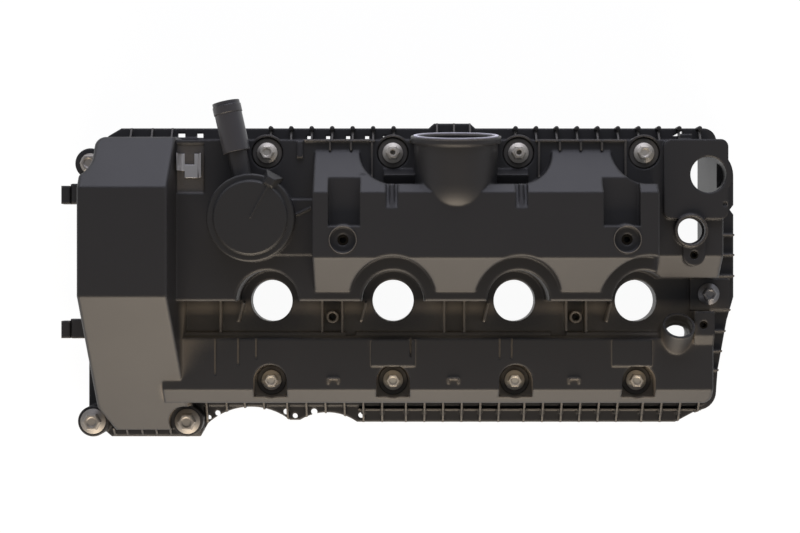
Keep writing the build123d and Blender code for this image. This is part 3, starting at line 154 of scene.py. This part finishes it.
@dataclass(frozen=True)
class Finish:
    """A solid finish with a fine grain in its surface.

    The grain is a noise on object coordinates. A real one is some 0.1 mm wide or finer, and each finish draws
    its own coarser so that it shows. Its size and depth are in millimetres, and so are the radius at which
    the edges catch the light, the reach of the painted light in the hollows and the width below which a rib
    gets a painted highlight on its crest. Each limit of the painted hollow light names an axis and the places
    on it where that light starts and is full. The rays are those that one sample of a shaded point spends on
    its edges or on its shelter.
    """

    name: str
    colour: str
    roughness: float
    metallic: float = 0.0
    ior: float = 1.5
    edge: float = 0.0
    edge_rays: int = 6
    shelter_rays: int = 8
    grain: float = 0.8
    grain_depth: float = 0.02
    grain_detail: float = 3.0
    grain_roughness: float = 0.6
    mottle: float = 0.0
    mottle_size: float = 30.0
    mottle_detail: float = 4.0
    mottle_contrast: Range = (0.3, 0.7)
    # These fields paint light: a pale warm colour mixed in where the surface is sheltered, between set
    # heights and only on the outboard side. It stands in for the outboard softbox's light reaching the
    # valley.
    hollow_light: str = ""
    hollow_light_reach: float = 45.0
    hollow_light_shelter: Range = (0.85, 0.4)
    hollow_light_limits: tuple[Limit, ...] = (("Z", 80.0, 55.0), ("Z", 22.0, 34.0), ("Y", 2.0, -6.0))
    # The crest colour is a painted highlight on the upward-facing tops of thin ribs.
    crest: str = ""
    crest_width: float = 2.7
    crest_openness: Range = (0.5, 0.2)
    crest_facing: Range = (0.5, 0.9)

    def material(self) -> bpy.types.Material:
        """Builds the material, or finds the one already built.

        Returns:
            The material.
        """
        found = bpy.data.materials.get(self.name)
        if found:
            return found
        made = bpy.data.materials.new(self.name)
        made.use_nodes = True
        tree = made.node_tree
        shader = tree.nodes["Principled BSDF"]
        shader.inputs["Base Color"].default_value = linear(self.colour)
        shader.inputs["Roughness"].default_value = self.roughness
        shader.inputs["Metallic"].default_value = self.metallic
        shader.inputs["IOR"].default_value = self.ior
        self.add_detail(tree, shader)
        return made

    def add_detail(self, tree: Tree, shader: bpy.types.Node) -> None:
        """Adds the grain and, where asked, painted light in the hollows, painted highlights on rib crests,
        rounded edges and a mottle of the roughness.

        Args:
            tree: the material's node tree.
            shader: its Principled BSDF.
        """
        place = add_node(tree, "TexCoord").outputs["Object"]
        # Painted light: sheltered hollows on the outboard side turn paler and warmer.
        if self.hollow_light:
            hollow_lit = self.paint_hollow_light(tree, place)
            tree.links.new(hollow_lit, shader.inputs["Base Color"])
            # Painted highlight: the upward-facing tops of thin ribs turn paler.
            if self.crest:
                tree.links.new(self.paint_crest_highlights(tree, hollow_lit), shader.inputs["Base Color"])
        speckle = {"Detail": self.grain_detail, "Roughness": self.grain_roughness}
        grain = add_node(tree, "TexNoise", {"Vector": place, "Scale": 1000 / self.grain, **speckle})
        relief = {"Height": grain.outputs["Fac"], "Strength": 1.0, "Distance": self.grain_depth / 1000}
        bump = add_node(tree, "Bump", relief)
        tree.links.new(bump.outputs["Normal"], shader.inputs["Normal"])
        if self.edge:
            rounded = add_node(tree, "Bevel", {"Radius": self.edge / 1000}, samples=self.edge_rays)
            tree.links.new(rounded.outputs["Normal"], bump.inputs["Normal"])
        if self.mottle:
            patchy = {"Scale": 1000 / self.mottle_size, "Detail": self.mottle_detail}
            cloud = add_node(tree, "TexNoise", {"Vector": place, **patchy})
            band = (self.roughness - self.mottle, self.roughness + self.mottle)
            spread = remap(tree, cloud.outputs["Fac"], self.mottle_contrast, band)
            tree.links.new(spread, shader.inputs["Roughness"])

    def paint_hollow_light(self, tree: Tree, place: Socket) -> Socket:
        """Paints light into the colour where the surface is sheltered, within the set heights and on the set
        side.

        Args:
            tree: the material's node tree.
            place: the object coordinates.

        Returns:
            The socket with the colour and its painted light.
        """
        reach = {"Distance": self.hollow_light_reach / 1000}
        hollow = add_node(tree, "AmbientOcclusion", reach, samples=self.shelter_rays)
        share = remap(tree, hollow.outputs["AO"], self.hollow_light_shelter)
        axes = add_node(tree, "SeparateXYZ", {0: place})
        for axis, start, full in self.hollow_light_limits:
            held = remap(tree, axes.outputs[axis], mm(start, full))
            share = calculate(tree, "MULTIPLY", share, held)
        return blend(tree, share, linear(self.colour), linear(self.hollow_light))

    def paint_crest_highlights(self, tree: Tree, under: Socket) -> Socket:
        """Paints a highlight on the upward-facing tops of ribs thinner than the crest's width.

        Args:
            tree: the material's node tree.
            under: the colour everywhere else.

        Returns:
            The socket with the finished colour.
        """
        reach = {"Distance": self.crest_width / 1000}
        thin = add_node(tree, "AmbientOcclusion", reach, samples=self.shelter_rays, inside=True)
        share = remap(tree, thin.outputs["AO"], self.crest_openness)
        facing = add_node(tree, "SeparateXYZ", {0: add_node(tree, "TexCoord").outputs["Normal"]})
        upward = remap(tree, facing.outputs["Z"], self.crest_facing)
        return blend(tree, calculate(tree, "MULTIPLY", share, upward), under, linear(self.crest))


# Glass-filled nylon out of a fine spark-eroded mould: a broad satin sheen, hardly any colour, edges that
# catch the light, a painted highlight along the crests of thin ribs and painted warm light down in the
# hollows.
# The mould's grain is some 0.1 mm wide, and is drawn at 0.8 mm so that it shows.
COVER_NYLON = Finish(
    "glass_filled_nylon_moulded", "#28282a", 0.46, edge=2.6, mottle=0.012, hollow_light="#857d72", crest="#77726b"
)
# The same nylon out of a smoother mould, a little closer.
CAP_NYLON = Finish("nylon_smooth_moulded", "#29292a", 0.42, edge=1.6, grain_depth=0.01, mottle=0.01)
# Nylon of the outlet pipe: injection moulded, glossier and a shade greyer.
PIPE_NYLON = Finish("nylon_polished_moulded", "#3f3f43", 0.36, edge=0.8, grain_depth=0.008, mottle=0.01)
# Zinc-plated steel: pale grey, blurred by the plating.
ZINC_PLATE = Finish(
    "zinc_plated_steel", "#c8c4bc", 0.55, metallic=0.85, edge=0.5, grain=0.5, grain_depth=0.01, mottle=0.05
)
# The same plating gone dull on the larger bolts.
DULL_ZINC = Finish(
    "zinc_plated_steel_dulled", "#a09c97", 0.58, metallic=0.85, edge=0.6, grain=0.5, grain_depth=0.01
)
# Phosphated steel: near black with a dull metal glint.
DARK_STEEL = Finish("phosphated_steel", "#868689", 0.5, metallic=1.0, edge=0.4, grain=0.4, grain_depth=0.01)
# Turned mild steel of the sleeves: bright bare metal with a soft sheen.
PLAIN_STEEL = Finish("turned_steel", "#9b9a98", 0.35, metallic=1.0, grain=0.3, grain_depth=0.01)
# Moulded nitrile rubber: matt black, painted a mid grey that stands in for light down in the deep screw
# recesses.
BLACK_RUBBER = Finish("nitrile_rubber", "#4b4946", 0.7, grain_depth=0.01)
# Moulded silicone rubber of the port's ring: a soft, cool off-white with hardly any gloss.
PALE_RUBBER = Finish("silicone_rubber_grey", "#e0deea", 0.5, grain_depth=0.01)
# Stamped spring strip: bright, with a soft brushed blur.
SPRING_STEEL = Finish(
    "spring_steel_strip", "#e6e6e8", 0.36, metallic=1.0, edge=0.3, grain=0.4, grain_depth=0.008
)
# Turned brass of the threaded inserts, painted near black as painted shade for the depth of their holes.
BRASS = Finish("brass_painted_shade", "#2d2a25", 0.45, metallic=1.0, grain=0.3, grain_depth=0.01)


def dress(finish: Finish, *nodes: str) -> None:
    """Gives CAD nodes a finish.

    Args:
        finish: the finish to wear.
        nodes: names of CAD nodes.
    """
    material = finish.material()
    for name in nodes:
        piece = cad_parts[name]
        piece.data.materials.clear()
        piece.data.materials.append(material)
        log.info("%s wears %s", name, finish.name)


def node_box(name: str) -> tuple[Point, Point]:
    """Finds the box of a CAD node.

    Args:
        name: the CAD node.

    Returns:
        Its lowest and highest corner, in millimetres.
    """
    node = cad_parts[name]
    points = [node.matrix_world @ Vector(corner) * 1000 for corner in node.bound_box]
    return tuple(map(min, *points)), tuple(map(max, *points))


@dataclass(frozen=True)
class Thread:
    """A screw thread: one ridge that winds up a shank, or up a socket's wall where its height is negative.

    The ridge is wound once, and every screw or insert gets a copy of its own. Sizes are in millimetres. Along
    the axis the corners of the profile stand at the flank's shares of the pitch. The foot is sunk in the
    wall, and corners closer than the weld are joined.
    """

    name: str
    radius: float
    height: float
    pitch: float
    turns: int
    finish: Finish
    margin: float = 0.5
    sink: float = 0.1
    weld: float = 0.0001
    flank: tuple[float, ...] = (0.06, 0.44, 0.56, 0.94)
    steps: int = 20
    crease: float = 40.0

    @property
    def foot(self) -> float:
        """Distance of the ridge's foot from the axis."""
        return self.radius - math.copysign(self.sink, self.height)

    @property
    def length(self) -> float:
        """Height of the whole winding."""
        return (self.turns + 1) * self.pitch

    def wind(self) -> bpy.types.Object:
        """Winds the ridge round the Z axis, upward from the origin.

        Returns:
            The ridge, to be copied.
        """
        bpy.ops.object.select_all(action="DESELECT")
        bpy.ops.mesh.primitive_circle_add(vertices=len(self.flank), fill_type="NGON")
        ridge = bpy.context.object
        crest = self.radius + self.height
        profile = zip((self.foot, crest, crest, self.foot), self.flank)
        for vertex, (away, up) in zip(ridge.data.vertices, profile):
            vertex.co = mm(away, 0.0, up * self.pitch)
        helix = ridge.modifiers.new("helix", "SCREW")
        helix.axis = "Z"
        helix.angle = math.tau
        helix.screw_offset = self.pitch / 1000
        helix.iterations = self.turns
        helix.steps = helix.render_steps = self.steps
        bpy.ops.object.modifier_apply(modifier=helix.name)
        self.fade(ridge.data)
        bpy.ops.object.mode_set(mode="EDIT")
        bpy.ops.mesh.select_all(action="SELECT")
        bpy.ops.mesh.remove_doubles(threshold=self.weld / 1000)
        bpy.ops.mesh.fill_holes(sides=len(self.flank))
        bpy.ops.mesh.select_all(action="SELECT")
        bpy.ops.mesh.normals_make_consistent(inside=False)
        bpy.ops.object.mode_set(mode="OBJECT")
        bpy.ops.object.shade_smooth_by_angle(angle=math.radians(self.crease))
        ridge.data.materials.append(self.finish.material())
        return ridge

    def fade(self, mesh: bpy.types.Mesh) -> None:
        """Lets the ridge rise out of the wall over its first turn and sink back over its last.

        Args:
            mesh: the wound ridge.
        """
        foot, pitch, top = mm(self.foot, self.pitch, self.length)
        for vertex in mesh.vertices:
            share = min(1.0, min(vertex.co.z, top - vertex.co.z) / pitch)
            across = Vector(vertex.co.xy)
            vertex.co.xy = across.normalized() * (foot + (across.length - foot) * share)

    def build(self, nodes: list[str], body: Body, from_top: bool = False) -> None:
        """Puts a copy of the ridge on each node.

        Args:
            nodes: the screws or inserts that carry the thread.
            body: the rigid body that they belong to.
            from_top: whether it is measured down from the node's top, not up from its tip.
        """
        ridge = self.wind()
        for number, node in enumerate(nodes, start=1):
            low, high = node_box(node)
            start = high[2] - self.margin - self.length if from_top else low[2] + self.margin
            place = mm((low[0] + high[0]) / 2, (low[1] + high[1]) / 2, start)
            piece = ridge.copy()
            piece.data = ridge.data.copy()
            piece.name = piece.data.name = f"{self.name}_{number}"
            bpy.context.collection.objects.link(piece)
            piece.data.transform(Matrix.Translation(place))
            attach(piece, body.value)
            log.info("%s winds on %s", piece.name, node)
        bpy.data.objects.remove(ridge)


@dataclass
class CoverShell:
    """The moulding itself, with its gasket and well seals."""

    well_count: int = 4
    finish: Finish = COVER_NYLON

    def build(self) -> None:
        """Dresses the shell and its rubber."""
        dress(self.finish, "cover_shell")
        dress(BLACK_RUBBER, "perimeter_gasket", *[f"plug_seal_{i + 1}" for i in range(self.well_count)])
        dress(CAP_NYLON, "baffle_plate")
        dress(PLAIN_STEEL, "baffle_screws")


@dataclass
class ScrewRows:
    """The two rows of flanged screws with their rubber rings and sleeves, and the larger bolts.

    The threads have the coarse pitches of M6 on the screws, M8 on the larger bolts and M5 in the studs'
    sockets. Their ridges stand on the plain shanks and walls, so they lie a little beyond the real sizes.
    """

    per_row: int = 4
    stud_numbers: tuple[int, ...] = (2, 3)
    timing_numbers: tuple[int, ...] = (1, 2, 3)
    screw_thread: Thread = Thread("screw_thread", 3.0, 0.3, 1.0, 13, ZINC_PLATE)
    bolt_thread: Thread = Thread("bolt_thread", 4.0, 0.38, 1.25, 10, DULL_ZINC)
    socket_thread: Thread = Thread("socket_thread", 2.1, -0.25, 0.8, 6, ZINC_PLATE)

    def screws(self) -> list[str]:
        """Lists the bright screws.

        Returns:
            Their nodes' names, the inboard row first.
        """
        inboard = [
            f"inboard_stud_{i}" if i in self.stud_numbers else f"inboard_bolt_{i}"
            for i in range(1, self.per_row + 1)
        ]
        outboard = [f"outboard_bolt_{i}" for i in range(1, self.per_row + 1)]
        return inboard + outboard

    def build(self) -> None:
        """Dresses every screw, ring and sleeve."""
        timing_bolts = [f"timing_bolt_{i}" for i in self.timing_numbers]
        dress(ZINC_PLATE, *self.screws())
        dress(DULL_ZINC, *timing_bolts)
        dress(DARK_STEEL, "end_bolt")
        for row in ("inboard", "outboard"):
            for number in range(1, self.per_row + 1):
                dress(BLACK_RUBBER, f"{row}_grommet_{number}")
                dress(PLAIN_STEEL, f"{row}_sleeve_{number}")
        dress(PLAIN_STEEL, "end_sleeve", *[f"timing_sleeve_{i}" for i in self.timing_numbers])
        self.screw_thread.build(self.screws(), Body.COVER)
        self.bolt_thread.build(timing_bolts + ["end_bolt"], Body.COVER)
        studs = [f"inboard_stud_{i}" for i in self.stud_numbers]
        self.socket_thread.build(studs, Body.COVER, from_top=True)


@dataclass
class VentValve:
    """The vent's cap, its insides and its outlet pipe."""

    def build(self) -> None:
        """Dresses the vent's pieces."""
        dress(CAP_NYLON, "vent_cap")
        dress(PIPE_NYLON, "vent_pipe")
        dress(BLACK_RUBBER, "vent_seal", "vent_diaphragm")
        dress(SPRING_STEEL, "vent_spring")


@dataclass
class SmallFittings:
    """Port seal, spring clip and threaded inserts."""

    cup_thread: Thread = Thread("cup_thread", 2.5, -0.3, 1.0, 8, BRASS)
    small_thread: Thread = Thread("small_thread", 2.1, -0.25, 0.8, 8, BRASS)

    def build(self) -> None:
        """Dresses the small fittings."""
        dress(PALE_RUBBER, "port_seal")
        dress(SPRING_STEEL, "spring_clip")
        cups = ["cup_insert_1", "cup_insert_2"]
        small = [f"{kind}_insert_{number}" for kind in ("valley", "sensor") for number in (1, 2)]
        dress(BRASS, *cups, *small)
        self.cup_thread.build(cups, Body.COVER, from_top=True)
        self.small_thread.build(small, Body.COVER, from_top=True)


@dataclass
class Softbox:
    """A soft rectangular lamp that aims at the part."""

    name: str
    colour: str
    power: float
    place: Point
    size: Range
    aim: Point = (-40.0, 20.0, 50.0)

    def build(self) -> None:
        """Adds the lamp, hidden from the camera."""
        bpy.ops.object.light_add(type="AREA", location=mm(*self.place))
        lamp = bpy.context.object
        lamp.name = self.name
        lamp.data.shape = "RECTANGLE"
        lamp.data.size, lamp.data.size_y = mm(*self.size)
        lamp.data.energy = self.power
        lamp.data.color = linear(self.colour)[:3]
        direction = Vector(mm(*self.aim)) - lamp.location
        lamp.rotation_euler = direction.to_track_quat("-Z", "Y").to_euler()
        lamp.visible_camera = False


@dataclass
class Studio:
    """White table, open studio above it, softboxes and the camera."""

    floor_size: float = 6000.0
    floor_colour: str = "#f4f4f4"
    floor_roughness: float = 0.6
    glow: float = 1.06
    glow_share: float = 0.9
    overhead_colour: str = "#727274"
    horizon_colour: str = "#bdbdc0"
    horizon_to_overhead: Range = (0.1, 0.85)
    camera_place: Point = (-43.4, 27.6, 1245.0)
    camera_lens: float = 66.825
    camera_sensor: float = 36.0
    softboxes: list[Softbox] = field(
        default_factory=lambda: [
            Softbox("inboard_softbox", "#eeeeff", 12.8, (-40.0, 1420.0, 680.0), (1500.0, 1050.0)),
            Softbox("outboard_softbox", "#ffecd3", 29.6, (-40.0, -1350.0, 640.0), (1500.0, 1050.0)),
        ]
    )

    def floor(self, height: float) -> None:
        """Lays the white table under the part.

        Args:
            height: the table's height in metres.
        """
        bpy.ops.object.select_all(action="DESELECT")
        bpy.ops.mesh.primitive_plane_add(size=self.floor_size / 1000, location=(0, 0, height))
        table = bpy.context.object
        table.name = "white_table"
        # Opal acrylic sheet, lit from behind: an even white with no gloss, and the part's shadow is faint.
        made = bpy.data.materials.new("white_acrylic_sheet")
        made.use_nodes = True
        tree = made.node_tree
        shader = tree.nodes["Principled BSDF"]
        shader.inputs["Base Color"].default_value = linear(self.floor_colour)
        shader.inputs["Roughness"].default_value = self.floor_roughness
        ray = add_node(tree, "LightPath")
        seen = calculate(tree, "MAXIMUM", ray.outputs["Is Camera Ray"], ray.outputs["Is Glossy Ray"])
        seen = calculate(tree, "MAXIMUM", seen, ray.outputs["Is Transmission Ray"])
        share = calculate(tree, "MULTIPLY", seen, self.glow_share)
        glow = add_node(tree, "Emission", {"Color": WHITE, "Strength": self.glow})
        lit = {0: share, 1: shader.outputs["BSDF"], 2: glow.outputs["Emission"]}
        mixed = add_node(tree, "MixShader", lit)
        tree.links.new(mixed.outputs[0], tree.nodes["Material Output"].inputs["Surface"])
        table.data.materials.append(made)
        table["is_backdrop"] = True

    def world(self) -> None:
        """Lights the studio from a dark ceiling and paler sides, with white behind everything."""
        world = bpy.data.worlds.new("studio")
        bpy.context.scene.world = world
        world.use_nodes = True
        tree = world.node_tree
        upward = add_node(tree, "SeparateXYZ", {0: add_node(tree, "TexCoord").outputs["Generated"]})
        rise = remap(tree, upward.outputs["Z"], self.horizon_to_overhead)
        sky = blend(tree, rise, linear(self.horizon_colour), linear(self.overhead_colour))
        ray = add_node(tree, "LightPath")
        seen = calculate(tree, "MAXIMUM", ray.outputs["Is Camera Ray"], ray.outputs["Is Transmission Ray"])
        shown = blend(tree, seen, sky, WHITE)
        tree.links.new(shown, tree.nodes["Background"].inputs["Color"])

    def camera(self) -> None:
        """Hangs the camera straight above the part."""
        bpy.ops.object.camera_add(location=mm(*self.camera_place), rotation=(0, 0, 0))
        camera = bpy.context.object
        camera.data.sensor_fit = "HORIZONTAL"
        camera.data.sensor_width = self.camera_sensor
        camera.data.lens = self.camera_lens
        bpy.context.scene.camera = camera
        bpy.context.scene.view_settings.view_transform = "Standard"

    def build(self, height: float) -> None:
        """Sets the whole studio up.

        Args:
            height: the table's height in metres.
        """
        self.floor(height)
        self.world()
        for softbox in self.softboxes:
            softbox.build()
        self.camera()


def main() -> None:
    """Dresses the cover, adds its small pieces and sets up the studio."""
    logging.basicConfig(level=logging.INFO, format="%(message)s")
    cad_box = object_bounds()
    CoverShell().build()
    ScrewRows().build()
    VentValve().build()
    SmallFittings().build()
    Studio().build(cad_box[0][2])


if __name__ == "__main__":
    main()
